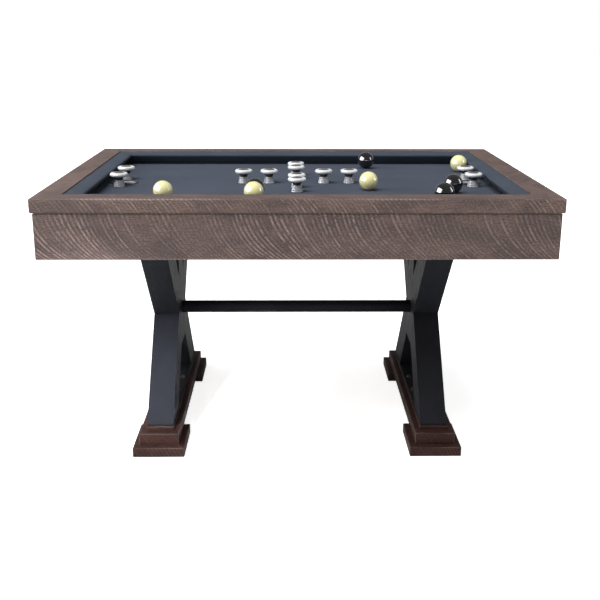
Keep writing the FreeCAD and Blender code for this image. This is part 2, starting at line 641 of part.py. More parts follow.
# ---- wooden feet ----
def make_feet():
    pilot = M8["shank"] + BOLT_CLEARANCE
    beam_half = FOOT_HALF_LENGTH - BEAM_SETBACK
    collar_half = foot_reach() + COLLAR_MARGIN
    collars, pads = [], []
    for name, side in SIDES.items():
        x = side * TRESTLE_X
        beam = eased_box(x - BEAM_WIDTH / 2, x + BEAM_WIDTH / 2, -beam_half, beam_half,
                         PAD_HEIGHT, FOOT_BEAM_TOP_Z, FOOT_EASED_EDGE)
        beam = drilled(beam, FOOT_BOLTS, PAD_HEIGHT + FOOT_PILOT_FLOOR, FOOT_BEAM_TOP_Z, pilot)
        export("foot_beam_" + name, beam)
        collar = box(x - COLLAR_WIDTH / 2, x + COLLAR_WIDTH / 2, -collar_half, collar_half,
                     FOOT_BEAM_TOP_Z, COLLAR_TOP_Z)
        collars.append(drilled(collar, FOOT_BOLTS, FOOT_BEAM_TOP_Z, COLLAR_TOP_Z, pilot))
        for end in (-1, 1):
            y0, y1 = sorted((end * FOOT_HALF_LENGTH, end * (FOOT_HALF_LENGTH - PAD_LENGTH)))
            pads.append(eased_box(x - PAD_WIDTH / 2, x + PAD_WIDTH / 2, y0, y1, 0, PAD_HEIGHT,
                                  FOOT_EASED_EDGE))
    export("foot_collars", collars)
    export("foot_pads", pads)


def make_rail_bolts():
    length = BED_Z + RAIL_BOLT_DEPTH - BOARD_BOTTOM_Z
    export("rail_bolts", [hex_bolt(x, y, BOARD_BOTTOM_Z, length, M8, True) for x, y in RAIL_BOLTS])


# ---- balls ----
def ball(x, y, z):
    return Part.makeSphere(BALL_RADIUS, FreeCAD.Vector(x, y, z))


def tray_ball_centre(end):
    """A ball on the sloping tray floor, against the end apron."""
    slope = math.radians(TRAY_SLOPE)
    x = INNER_HALF_LENGTH - BALL_CLEARANCE - BALL_RADIUS
    floor = TRAY_LOW_FLOOR_Z + (INNER_HALF_LENGTH - x) * math.tan(slope)
    return SIDES[end] * x, 0.0, floor + (BALL_RADIUS + BALL_CLEARANCE) / math.cos(slope)


def make_balls():
    for name, (x, y) in BED_BALLS.items():
        export(name, ball(x, y, BALL_Z))
    for name, end in TRAY_BALLS.items():
        export(name, ball(*tray_ball_centre(end)))


def main():
    os.makedirs("parts", exist_ok=True)
    make_rails()
    make_aprons()
    make_cushions()
    make_bed()
    make_carcass()
    make_pockets()
    make_bumpers()
    make_trestles()
    make_stretcher()
    make_feet()
    make_rail_bolts()
    make_balls()


main()
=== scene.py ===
"""Bumper pool table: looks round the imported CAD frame.

Metres, +Z up, +X the table's length, -Y its front.
"""
import json
import math

import bmesh
import bpy
import numpy as np
from mathutils import Matrix, Vector

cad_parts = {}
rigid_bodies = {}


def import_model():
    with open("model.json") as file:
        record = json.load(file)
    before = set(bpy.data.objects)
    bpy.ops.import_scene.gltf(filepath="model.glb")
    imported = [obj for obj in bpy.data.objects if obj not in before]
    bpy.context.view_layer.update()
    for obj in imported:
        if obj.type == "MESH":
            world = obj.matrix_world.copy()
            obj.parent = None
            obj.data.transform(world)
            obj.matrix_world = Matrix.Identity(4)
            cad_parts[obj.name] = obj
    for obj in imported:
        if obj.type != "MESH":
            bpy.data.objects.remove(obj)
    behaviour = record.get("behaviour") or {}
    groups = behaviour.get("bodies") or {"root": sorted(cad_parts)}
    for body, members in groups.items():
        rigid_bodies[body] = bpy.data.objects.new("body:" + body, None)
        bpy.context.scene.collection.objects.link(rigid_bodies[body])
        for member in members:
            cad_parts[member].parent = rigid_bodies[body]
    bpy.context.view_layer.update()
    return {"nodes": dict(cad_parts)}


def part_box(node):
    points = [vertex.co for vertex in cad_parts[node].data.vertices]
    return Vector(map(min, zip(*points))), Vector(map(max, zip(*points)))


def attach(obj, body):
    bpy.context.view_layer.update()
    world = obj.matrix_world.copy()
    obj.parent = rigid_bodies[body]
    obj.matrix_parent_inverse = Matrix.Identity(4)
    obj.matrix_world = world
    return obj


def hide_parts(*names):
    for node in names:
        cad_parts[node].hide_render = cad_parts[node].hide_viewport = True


for old in list(bpy.data.objects):
    bpy.data.objects.remove(old, do_unlink=True)
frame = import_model()
NODES = frame["nodes"]
BODY = "table"
SIDES = ("front", "back", "left", "right")
MM = 0.001


def corners(node):
    low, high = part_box(node)
    return Vector(low), Vector(high)


# ---- sizes read from the frame ----
RAIL_LOW, RAIL_HIGH = corners("rail_front")
HALF_LENGTH = RAIL_HIGH.x
HALF_WIDTH = -RAIL_LOW.y
RAIL_TOP = RAIL_HIGH.z
CLOTH_LOW, CLOTH_HIGH = corners("bed_cloth")
BED_Z = CLOTH_HIGH.z
RAIL_WIDTH = RAIL_HIGH.y - RAIL_LOW.y
APRON_LOW, APRON_HIGH = corners("apron_front")
OVERHANG = APRON_LOW.y - RAIL_LOW.y
APRON_INNER = OVERHANG + APRON_HIGH.y - APRON_LOW.y
APRON_TOP = APRON_HIGH.z
RUBBER_DEPTH = corners("cushion_rubber_front")[1].y - RAIL_LOW.y    # to the rubber's nose

# ---- sizes that the frame's boxes don't give ----
RAIL_ROUND = 6.0 * MM            # lower outer edge of the rails
EASED_EDGE = 2.0 * MM
REBATE = 2.5 * MM                # the shadow gap where the apron meets the rail
RELIEF_STEP = 2.4 * MM           # mesh step along the rails and aprons
RAIL_RELIEF = 0.35 * MM          # how far the wood is sunk between the saw marks
APRON_RELIEF = 0.45 * MM
FOOT_RELIEF = 0.35 * MM
COLLAR_RELIEF = 0.2 * MM
RIDGE_POWER = 2.2                # how narrow the crest of a saw mark is
WINDOW_HALF = 48.0 * MM          # return opening in an end apron
WINDOW_CORNER = 12.0 * MM
WINDOW_BOTTOM = 684.0 * MM
WINDOW_TOP = 746.0 * MM
NOSE_RADIUS = 5.0 * MM
NOSE_HEIGHT = 31.5 * MM          # centre of the cushion's nose above the bed
CUSHION_SLOPE = 6.0              # degrees, mean fall of the cushion's top
CUSHION_CROWN = 1.9              # how much the fall gathers near the nose
CUSHION_UNDERCUT = 48.0          # degrees from the bed
CLOTH_SKIN = 0.9 * MM
POCKET_BORE = 34.0 * MM
POCKET_WALL = 3.0 * MM
POCKET_FLANGE = 44.0 * MM
POCKET_THROAT = 37.4 * MM        # hole in the bed cloth
PALE_DEPTH = 7.0 * MM            # height of the pale wall inside a pocket
BUMPER_NEAR, BUMPER_FAR = 87.0 * MM, 168.0 * MM
BUMPER_END_X, BUMPER_END_Y = 553.0 * MM, 69.0 * MM
STUD_BORE = 3.4 * MM             # radius of the hole through bases and heads
RING_OUTER, RING_INNER = 27.5 * MM, 16.5 * MM
RING_ROUND = 4.9 * MM
CAP_RADIUS = 16.2 * MM
CAP_EDGE_RISE = 0.6 * MM
PAD_HALF_WIDTH = 78.0 * MM
PAD_LENGTH = 180.0 * MM
MERGE = 0.01 * MM                # points closer than this are one point

# ---- the photograph's view ----
CAMERA_PLACE = (-0.030023, -2.942758, 1.239883)
CAMERA_PITCH, CAMERA_YAW, CAMERA_ROLL = 16.360, 0.829, 0.159
CAMERA_SENSOR, CAMERA_LENS = 36.0, 55.40
CLIP_NEAR, CLIP_FAR = 0.05, 60.0


def add_object(name, data):
    made = bpy.data.objects.new(name, data)
    bpy.context.collection.objects.link(made)
    return made


# ---- camera ----
def make_camera():
    """The photograph's camera, fitted to the table's corners."""
    pitch, yaw, roll = (math.radians(a) for a in (CAMERA_PITCH, CAMERA_YAW, CAMERA_ROLL))
    forward = Vector((math.sin(yaw) * math.cos(pitch), math.cos(yaw) * math.cos(pitch),
                      -math.sin(pitch)))
    right0 = Vector((math.cos(yaw), -math.sin(yaw), 0))
    up0 = right0.cross(forward)
    right = right0 * math.cos(roll) + up0 * math.sin(roll)
    up = up0 * math.cos(roll) - right0 * math.sin(roll)
    data = bpy.data.cameras.new("camera")
    data.sensor_width, data.lens = CAMERA_SENSOR, CAMERA_LENS
    data.clip_start, data.clip_end = CLIP_NEAR, CLIP_FAR
    camera = add_object("camera", data)
    turn = Matrix((right, up, -forward)).transposed()
    camera.matrix_world = Matrix.Translation(CAMERA_PLACE) @ turn.to_4x4()
    bpy.context.scene.camera = camera


# ---- material helpers ----
class Look:
    """A node material in the making, with short calls for the nodes that the finishes use."""

    def __init__(self, name, roughness=0.5, **shader):
        self.material = bpy.data.materials.new(name)
        self.material.use_nodes = True
        self.tree = self.material.node_tree
        self.shader = self.tree.nodes["Principled BSDF"]
        self.shader.inputs["Roughness"].default_value = roughness
        for socket, value in shader.items():
            self.shader.inputs[socket.replace("_", " ")].default_value = value

    def node(self, kind, **settings):
        made = self.tree.nodes.new(kind)
        for key, value in settings.items():
            setattr(made, key, value)
        return made

    def feed(self, value, socket):
        if isinstance(value, bpy.types.NodeSocket):
            self.tree.links.new(value, socket)
        else:
            socket.default_value = value

    def math(self, operation, a, b=0.0, clamp=False):
        made = self.node("ShaderNodeMath", operation=operation, use_clamp=clamp)
        self.feed(a, made.inputs[0])
        self.feed(b, made.inputs[1])
        return made.outputs[0]

    def attribute(self, name):
        return self.node("ShaderNodeAttribute", attribute_name=name).outputs["Fac"]

    def place(self, scale=(1, 1, 1), turn=(0, 0, 0)):
        source = self.node("ShaderNodeTexCoord").outputs["Object"]
        mapping = self.node("ShaderNodeMapping")
        mapping.inputs["Scale"].default_value = scale
        mapping.inputs["Rotation"].default_value = turn
        self.tree.links.new(source, mapping.inputs["Vector"])
        return mapping.outputs[0]

    def vector(self, x, y, z=0.0):
        made = self.node("ShaderNodeCombineXYZ")
        for value, socket in zip((x, y, z), made.inputs):
            self.feed(value, socket)
        return made.outputs[0]

    def noise(self, vector, scale, detail=3.0, roughness=0.5, distortion=0.0):
        made = self.node("ShaderNodeTexNoise")
        self.feed(vector, made.inputs["Vector"])
        for socket, value in (("Scale", scale), ("Detail", detail), ("Roughness", roughness),
                              ("Distortion", distortion)):
            made.inputs[socket].default_value = value
        return made.outputs["Fac"]

    def cells(self, vector, scale):
        made = self.node("ShaderNodeTexVoronoi")
        self.feed(vector, made.inputs["Vector"])
        made.inputs["Scale"].default_value = scale
        return made.outputs["Distance"]

    def ramp(self, value, low, high, to_low=0.0, to_high=1.0):
        made = self.node("ShaderNodeMapRange", interpolation_type="SMOOTHSTEP")
        self.feed(value, made.inputs["Value"])
        for socket, number in zip(("From Min", "From Max", "To Min", "To Max"),
                                  (low, high, to_low, to_high)):
            made.inputs[socket].default_value = number
        return made.outputs[0]

    def mix(self, share, a, b):
        made = self.node("ShaderNodeMix", data_type="RGBA")
        self.feed(share, made.inputs["Factor"])
        for value, socket in ((a, made.inputs[6]), (b, made.inputs[7])):
            self.feed(value if isinstance(value, bpy.types.NodeSocket) else (*value, 1.0), socket)
        return made.outputs[2]

    def colour(self, value):
        self.tree.links.new(value, self.shader.inputs["Base Color"])

    def rough(self, value):
        self.tree.links.new(value, self.shader.inputs["Roughness"])

    def bump(self, height, distance, strength=1.0, after=None):
        made = self.node("ShaderNodeBump")
        made.inputs["Distance"].default_value = distance
        made.inputs["Strength"].default_value = strength
        self.tree.links.new(height, made.inputs["Height"])
        if after is not None:
            self.tree.links.new(after, made.inputs["Normal"])
        self.tree.links.new(made.outputs[0], self.shader.inputs["Normal"])
        return made.outputs[0]


# ---- finishes ----
def sawn_wood(name, brown, char, ridge_colour, worn, contrast=1.0, gloss=0.2):
    """Dark stained oak with saw marks.

    The marks' phase and strength and the worn places come with the mesh.
    """
    k = Look(name, roughness=0.6, Specular_IOR_Level=gloss)
    u, v = k.attribute("gu"), k.attribute("gv")
    phase, amp, wear = k.attribute("phase"), k.attribute("amp"), k.attribute("wear")
    along = k.vector(k.math("MULTIPLY", u, 0.12), v)
    patches = k.noise(k.vector(k.math("MULTIPLY", u, 0.45), v), 16.0, 4.0, 0.6, 0.4)
    grain = k.noise(along, 260.0, 4.0, 0.65, 0.6)
    pores = k.noise(k.vector(k.math("MULTIPLY", u, 0.08), v), 900.0, 2.0, 0.6)
    wave = k.math("COSINE", k.math("MULTIPLY", phase, math.tau))
    crest = k.math("MULTIPLY", k.math("ADD", wave, 1.0), 0.5)
    ridge = k.math("POWER", crest, RIDGE_POWER)
    broken = k.ramp(k.noise(k.vector(u, v), 52.0, 4.0, 0.7), 0.36, 0.58)
    groove = k.math("MULTIPLY", k.ramp(wave, -0.9, 0.1, 1.0, 0.0), k.math("MULTIPLY", amp, broken))
    mark = k.math("MULTIPLY", k.math("MULTIPLY", ridge, amp), broken)
    fine = k.math("COSINE", k.math("MULTIPLY", phase, 3.0 * math.tau))
    fine = k.ramp(k.math("MULTIPLY", fine, amp), -0.6, 1.0)
    tone = k.mix(k.ramp(patches, 0.38, 0.62), char, brown)
    tone = k.mix(k.ramp(grain, 0.35, 0.7, 0.0, 0.65), tone, [c * 0.55 for c in char])
    tone = k.mix(k.math("MULTIPLY", fine, 0.28 * contrast), tone, ridge_colour)
    tone = k.mix(k.math("MULTIPLY", groove, 0.6 * contrast, clamp=True), tone,
                 [c * 0.45 for c in char])
    tone = k.mix(k.math("MULTIPLY", mark, 1.25 * contrast, clamp=True), tone, ridge_colour)
    tone = k.mix(k.ramp(pores, 0.56, 0.74, 0.0, 0.75), tone, [c * 0.3 for c in char])
    tone = k.mix(k.math("MULTIPLY", wear, 1.0, clamp=True), tone, worn)
    speck = k.noise(k.vector(k.math("MULTIPLY", u, 0.6), v), 340.0, 3.0, 0.7)
    tone = k.mix(k.ramp(speck, 0.47, 0.6, 0.0, 0.45), tone, [c * 0.5 for c in char])
    tone = k.mix(k.ramp(speck, 0.32, 0.45, 0.3, 0.0), tone, ridge_colour)
    k.colour(tone)
    k.rough(k.ramp(grain, 0.2, 0.8, 0.62, 0.46))
    first = k.bump(k.math("ADD", mark, k.math("MULTIPLY", fine, 0.3)), 0.5 * MM, 0.7)
    k.bump(k.math("ADD", grain, k.math("MULTIPLY", pores, 0.6)), 0.35 * MM, 0.6, first)
    return k.material


def plain_wood(name, light, dark, grain_along_x=False):
    """Planed softwood that nobody sees from above."""
    k = Look(name, roughness=0.62)
    scale = (0.12, 1, 1) if grain_along_x else (1, 0.12, 1)
    place = k.place(scale)
    rings = k.noise(place, 38.0, 3.0, 0.55, 1.6)
    fibre = k.noise(place, 420.0, 3.0, 0.6)
    tone = k.mix(k.ramp(rings, 0.35, 0.66), light, dark)
    tone = k.mix(k.ramp(fibre, 0.5, 0.8, 0.0, 0.4), tone, [c * 0.6 for c in dark])
    k.colour(tone)
    k.bump(k.math("ADD", rings, fibre), 0.4 * MM, 0.5)
    return k.material


def board(name):
    """Pressed board: chips in glue."""
    k = Look(name, roughness=0.7)
    chips = k.cells(k.place((1, 1, 1.6)), 420.0)
    fibre = k.noise(k.place(), 900.0, 3.0, 0.7)
    tone = k.mix(k.ramp(chips, 0.1, 0.7), (0.30, 0.205, 0.125), (0.20, 0.13, 0.078))
    k.colour(k.mix(k.ramp(fibre, 0.4, 0.8, 0.0, 0.5), tone, (0.38, 0.28, 0.18)))
    k.bump(k.math("ADD", chips, fibre), 0.25 * MM, 0.5)
    return k.material


def cloth(name, base, light):
    """Napped woollen cloth: a fine twill under short fibres that lean one way."""
    k = Look(name, roughness=0.9, Sheen_Weight=0.03, Sheen_Roughness=0.5, Specular_IOR_Level=0.04)
    turned = k.place((1, 1, 1), (0, 0, math.radians(38)))
    weave = k.node("ShaderNodeTexWave", wave_type="BANDS", bands_direction="X")
    k.feed(turned, weave.inputs["Vector"])
    for socket, value in (("Scale", 320.0), ("Distortion", 1.6), ("Detail", 2.0),
                          ("Detail Scale", 2.0)):
        weave.inputs[socket].default_value = value
    nap = k.noise(k.place((1, 0.35, 1)), 1500.0, 3.0, 0.7)
    drift = k.noise(k.place((1, 1.4, 1)), 5.0, 4.0, 0.6)
    tone = k.mix(k.ramp(nap, 0.3, 0.75), base, light)
    tone = k.mix(k.math("MULTIPLY", weave.outputs["Fac"], 0.18), tone, [c * 0.7 for c in base])
    tone = k.mix(k.ramp(drift, 0.35, 0.7, 0.0, 0.25), tone, [c * 1.25 for c in light])
    k.colour(tone)
    k.rough(k.ramp(nap, 0.2, 0.8, 0.84, 0.96))
    k.bump(k.math("ADD", nap, k.math("MULTIPLY", weave.outputs["Fac"], 0.5)), 0.2 * MM, 0.5)
    return k.material


def rubber(name, base, roughness, soil):
    """Rubber with handling marks."""
    k = Look(name, roughness=roughness, IOR=1.5)
    speck = k.noise(k.place(), 700.0, 3.0, 0.6)
    smudge = k.noise(k.place(), 60.0, 4.0, 0.6, 0.5)
    tone = k.mix(k.ramp(smudge, 0.5, 0.8, 0.0, 0.55), base, soil)
    k.colour(k.mix(k.ramp(speck, 0.6, 0.8, 0.0, 0.35), tone, soil))
    k.rough(k.ramp(smudge, 0.3, 0.8, roughness, roughness + 0.18))
    k.bump(speck, 0.08 * MM, 0.4)
    return k.material


def painted_steel(name, base, roughness):
    """Satin black powder coat: a fine orange peel, light scuffs and paler rubbed spots."""
    k = Look(name, roughness=roughness, Specular_IOR_Level=0.08)
    peel = k.noise(k.place(), 650.0, 2.0, 0.5)
    cloud = k.noise(k.place((1, 1, 0.5)), 7.0, 4.0, 0.6, 0.3)
    scuff = k.noise(k.place((3.0, 1.0, 0.25), (0.2, 0.3, 0.1)), 60.0, 5.0, 0.75, 0.8)
    tone = k.mix(k.ramp(cloud, 0.35, 0.7), base, [c * 1.35 for c in base])
    k.colour(k.mix(k.ramp(scuff, 0.66, 0.8, 0.0, 0.5), tone, [min(1, c * 3.2) for c in base]))
    k.rough(k.ramp(scuff, 0.35, 0.75, roughness, roughness + 0.16))
    k.bump(peel, 0.12 * MM, 0.45)
    return k.material


def metal(name, base, roughness):
    """Bare or blacked metal, hazy and finely scratched."""
    k = Look(name, roughness=roughness, Metallic=1.0)
    marks = k.noise(k.place(), 420.0, 3.0, 0.65)
    haze = k.noise(k.place(), 45.0, 4.0, 0.6)
    tone = k.mix(k.ramp(haze, 0.35, 0.7), base, [c * 0.72 for c in base])
    k.colour(k.mix(k.ramp(marks, 0.55, 0.8, 0.0, 0.45), tone, [c * 0.5 for c in base]))
    k.rough(k.ramp(haze, 0.3, 0.75, roughness, roughness + 0.14))
    k.bump(marks, 0.06 * MM, 0.4)
    return k.material


def plastic(name, base, roughness):
    """Moulded plastic with a fine pebble."""
    k = Look(name, roughness=roughness)
    grain = k.cells(k.place(), 500.0)
    cloud = k.noise(k.place(), 30.0, 4.0, 0.6)
    k.colour(k.mix(k.ramp(cloud, 0.35, 0.7), base, [min(1, c * 1.5 + 0.004) for c in base]))
    k.rough(k.ramp(grain, 0.1, 0.8, roughness, roughness + 0.12))
    k.bump(grain, 0.1 * MM, 0.35)
    return k.material


def resin(name, base, deep):
    """Polished phenolic resin under its hard glossy surface."""
    k = Look(name, roughness=0.10, Coat_Weight=1.0, Coat_Roughness=0.03, Coat_IOR=1.6, IOR=1.5)
    cloud = k.noise(k.place(), 40.0, 3.0, 0.5, 0.8)
    k.colour(k.mix(k.ramp(cloud, 0.3, 0.7), base, deep))
    rub = k.noise(k.place((1, 2, 1)), 160.0, 4.0, 0.7)
    k.rough(k.ramp(rub, 0.4, 0.8, 0.06, 0.14))
    return k.material


def make_looks():
    """Every finish by a short name."""
    return {
        "rail": sawn_wood("rail_wood", (0.165, 0.106, 0.091), (0.080, 0.057, 0.053),
                          (0.300, 0.212, 0.182), (0.50, 0.42, 0.37), 1.15),
        "apron": sawn_wood("apron_wood", (0.140, 0.092, 0.081), (0.068, 0.050, 0.048),
                           (0.320, 0.228, 0.202), (0.36, 0.29, 0.26), 1.15),
        "foot": sawn_wood("foot_wood", (0.050, 0.019, 0.014), (0.028, 0.012, 0.010),
                          (0.082, 0.041, 0.032), (0.20, 0.15, 0.14), 0.6, 0.15),
        "carcass": plain_wood("carcass_wood", (0.42, 0.29, 0.17), (0.30, 0.18, 0.095)),
        "cleat": plain_wood("cleat_wood", (0.42, 0.29, 0.17), (0.30, 0.18, 0.095), True),
        "board": board("bed_board_fibre"),
        "bed": cloth("bed_cloth_wool", (0.052, 0.063, 0.087), (0.066, 0.079, 0.107)),
        "cushion": cloth("cushion_cloth_wool", (0.045, 0.057, 0.078), (0.058, 0.073, 0.098)),
        "gum": rubber("gum_rubber", (0.035, 0.03, 0.028), 0.6, (0.06, 0.052, 0.045)),
        "ring": rubber("white_rubber", (0.80, 0.82, 0.83), 0.22, (0.60, 0.61, 0.62)),
        "base": plastic("grey_base", (0.42, 0.43, 0.46), 0.28),
        "head": plastic("dark_head", (0.016, 0.014, 0.014), 0.36),
        "cap": plastic("dark_cap", (0.085, 0.074, 0.072), 0.42),
        "liner": plastic("dark_rim", (0.022, 0.022, 0.024), 0.30),
        "pale_liner": plastic("pale_rim", (0.62, 0.63, 0.65), 0.35),
        "tray": plastic("tray_plastic", (0.014, 0.014, 0.015), 0.5),
        "steel": painted_steel("black_steel", (0.011, 0.0115, 0.0145), 0.52),
        "zinc": metal("zinc_steel", (0.62, 0.63, 0.64), 0.34),
        "bolt": metal("black_bolt", (0.10, 0.10, 0.11), 0.38),
        "yellow": resin("yellow_phenolic", (0.97, 0.92, 0.50), (0.94, 0.87, 0.41)),
        "black": resin("black_phenolic", (0.004, 0.004, 0.005), (0.007, 0.007, 0.008)),
    }


# ---- mesh helpers ----
def piece(name, points, faces, look, smooth=True, replaced=()):
    """A mesh that rides on the table, with outward faces."""
    mesh = bpy.data.meshes.new(name)
    mesh.from_pydata([tuple(p) for p in points], [], faces)
    shell = bmesh.new()
    shell.from_mesh(mesh)
    bmesh.ops.recalc_face_normals(shell, faces=shell.faces)
    shell.to_mesh(mesh)
    shell.free()
    made = add_object(name, mesh)
    mesh.materials.append(look)
    if smooth:
        mesh.shade_smooth()
    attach(made, BODY)
    if replaced:
        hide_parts(*replaced)
    return made


def write_attribute(made, name, values):
    """One number for each vertex, for the material to read."""
    data = made.data.attributes.get(name) or made.data.attributes.new(name, "FLOAT", "POINT")
    data.data.foreach_set("value", np.asarray(values, np.float32))


def sharp_by_angle(made, degrees):
    made.data.set_sharp_from_angle(angle=math.radians(degrees))


def steps(start, end, size):
    """Evenly spaced numbers from start to end, about size apart."""
    count = max(1, int(round(abs(end - start) / size)))
    return list(np.linspace(start, end, count + 1))


def to_world(side, along, inset, z):
    """A point of a frame bar: along the bar, in from the outside, and up."""
    if side == "front":
        return np.stack([along, inset - HALF_WIDTH, z], -1)
    if side == "back":
        return np.stack([-along, HALF_WIDTH - inset, z], -1)
    if side == "right":
        return np.stack([HALF_LENGTH - inset, along, z], -1)
    return np.stack([inset - HALF_LENGTH, -along, z], -1)


def half_of(side):
    """Half the length of a frame bar, along its outside."""
    return HALF_LENGTH if side in ("front", "back") else HALF_WIDTH


def waves(seed, count, low, high):
    """A smooth random function of two lengths, about -1 to 1, the same for a seed every time."""
    rng = np.random.default_rng(seed)
    parts = [(rng.uniform(low, high), rng.uniform(low, high) * 0.8, rng.uniform(0, math.tau),
              rng.uniform(0.5, 1.0)) for _ in range(count)]
    total = sum(p[3] for p in parts)

    def wave(u, v):
        height = sum(a * np.sin(fu * u + fv * v + shift) for fu, fv, shift, a in parts)
        return height / total * 1.8
    return wave


def mark_strength(phase, seed):
    """Each saw mark has its own depth."""
    count = 4096
    depths = np.random.default_rng(seed).uniform(0.15, 1.0, count) ** 1.5
    return depths[(np.round(phase).astype(int) + count // 2) % count]


def ridge_of(phase):
    """1 on the crest of a saw mark, 0 between two."""
    return (0.5 + 0.5 * np.cos(math.tau * phase)) ** RIDGE_POWER


def bar_grid(side, loop, step):
    """Rows along a mitred bar, columns round its loop of (inset, z) points."""
    loop = np.array(loop)
    half = half_of(side)
    t = np.array(steps(-1.0, 1.0, step / half))
    along = t[:, None] * (half - loop[None, :, 0])
    inset = np.broadcast_to(loop[None, :, 0], along.shape).copy()
    z = np.broadcast_to(loop[None, :, 1], along.shape).copy()
    return along, inset, z


def ring_faces(rows, cols, caps=True):
    """The faces of a bar_grid, closed at both ends if caps is set."""
    faces = [(i * cols + j, (i + 1) * cols + j, (i + 1) * cols + (j + 1) % cols,
              i * cols + (j + 1) % cols) for i in range(rows - 1) for j in range(cols)]
    if caps:
        faces += [tuple(range(cols)), tuple((rows - 1) * cols + j for j in range(cols))]
    return faces


def relief_bar(name, side, loop, girth, relief, look, replaced, marks, seed):
    """A bar whose faces carry saw marks.

    girth and relief run along the loop; relief is 0 where the bar fits against another piece.
    """
    loop = np.array(loop)
    along, inset, z = bar_grid(side, loop, RELIEF_STEP)
    girth = np.broadcast_to(np.array(girth)[None, :], along.shape)
    depth = np.broadcast_to(np.array(relief)[None, :], along.shape)
    phase = marks(along, girth) + 0.35 * waves(seed, 7, 3.0, 22.0)(along, girth)
    swell = np.clip(0.65 + 0.5 * waves(seed + 1, 6, 2.0, 14.0)(along, girth), 0.1, 1.0)
    strength = mark_strength(phase, seed) * swell
    sunk = depth * (1.0 - strength * ridge_of(phase))
    after = np.roll(loop, -1, 0)
    tangent = after - np.roll(loop, 1, 0)
    normal = np.stack([tangent[:, 1], -tangent[:, 0]], -1)
    normal /= np.linalg.norm(normal, axis=1)[:, None]
    if np.sum(loop[:, 0] * after[:, 1] - after[:, 0] * loop[:, 1]) < 0:
        normal = -normal
    inset = inset - sunk * normal[None, :, 0]
    z = z - sunk * normal[None, :, 1]
    points = to_world(side, along, inset, z).reshape(-1, 3)
    made = piece(name, points, ring_faces(*along.shape), look, replaced=replaced)
    for key, values in (("gu", along + seed), ("gv", girth), ("phase", phase), ("amp", strength)):
        write_attribute(made, key, values.ravel())
    return made, along, girth, phase


def arc(centre, radius, start, end, count):
    return [(centre[0] + radius * math.cos(a), centre[1] + radius * math.sin(a))
            for a in np.linspace(math.radians(start), math.radians(end), count + 1)]


# ---- wooden rails and aprons ----
def girth_of(loop):
    """The distance along the loop to each of its points."""
    loop = np.array(loop)
    return np.concatenate([[0.0], np.cumsum(np.linalg.norm(np.diff(loop, axis=0), axis=1))])


def rail_loop():
    """From the lower outer round up the face, over the top, down behind the cushion and back.

    The rail's underside steps down inside the apron.
    """
    low_round, ease = RAIL_ROUND, EASED_EDGE
    top, width = RAIL_TOP, RAIL_WIDTH
    loop = arc((low_round, APRON_TOP + low_round), low_round, 270, 180, 4)
    loop += [(0.0, z) for z in steps(APRON_TOP + low_round, top - ease, 4 * MM)[1:]]
    loop += arc((ease, top - ease), ease, 180, 90, 4)[1:]
    loop += [(x, top) for x in steps(ease, width - ease, 4 * MM)[1:]]
    loop += arc((width - ease, top - ease), ease, 90, 0, 3)[1:]
    loop += [(width, z) for z in steps(top - ease, BED_Z, 12 * MM)[1:]]
    loop += [(x, BED_Z) for x in steps(width, APRON_INNER, 16 * MM)[1:]]
    loop += [(x, APRON_TOP) for x in steps(APRON_INNER, low_round, 11 * MM)[:-1]]
    return loop


def rail_relief(loop):
    """Saw marks on the outer face and the top only, fading before the cushion and the apron."""
    out = []
    for inset, z in loop:
        outer = inset < 3 * MM and z > APRON_TOP + 3 * MM
        top = z > RAIL_TOP - 2.1 * MM and inset < RAIL_WIDTH - 6 * MM
        out.append(RAIL_RELIEF if outer or top else 0.0)
    return out


def rail_marks(seed):
    """Marks that lean back a little more the higher they are."""
    pitch, lean, bend = 12.0 * MM, 0.5, 5.8

    def marks(along, girth):
        return (along + lean * girth + bend * girth ** 2) / pitch + seed * 0.37
    return marks


def apron_loop():
    """From the rebate under the rail down the face, under the board and up its back."""
    low, top = APRON_LOW.z, APRON_TOP
    outer, inner, ease = OVERHANG, APRON_INNER, EASED_EDGE
    loop = [(outer + REBATE, top), (outer + REBATE, top - REBATE)]
    loop += [(outer, z) for z in steps(top - REBATE, low + ease, 4 * MM)]
    loop += arc((outer + ease, low + ease), ease, 180, 270, 3)[1:]
    loop += [(x, low) for x in steps(outer + ease, inner - ease, 8 * MM)[1:]]
    loop += arc((inner - ease, low + ease), ease, 270, 360, 3)[1:]
    loop += [(inner, z) for z in steps(low + ease, top, 16 * MM)[1:]]
    loop += [((outer + inner) / 2, top)]
    return loop


def apron_marks(seed):
    """Arcs of a round saw blade: upright at the top of the board and leaning over below."""
    pitch, blade, rise = 13.0 * MM, 0.212, 0.05

    def marks(along, girth):
        drop = np.clip(girth + rise, 0.0, blade * 0.985)
        return (along + np.sqrt(blade ** 2 - drop ** 2)) / pitch + seed * 0.29
    return marks


def worn_edge(made, along, girth, phase, at, reach, seed):
    """Stain rubbed off along an arris, in dashes where the saw marks cross it."""
    near = np.exp(-((girth - at) / reach) ** 2)
    dash = 0.25 + 0.75 * ridge_of(phase)
    rub = np.clip(0.35 + 0.75 * waves(seed + 5, 6, 3.0, 18.0)(along, girth * 0), 0.05, 1.0)
    write_attribute(made, "wear", (near * dash * rub).ravel())


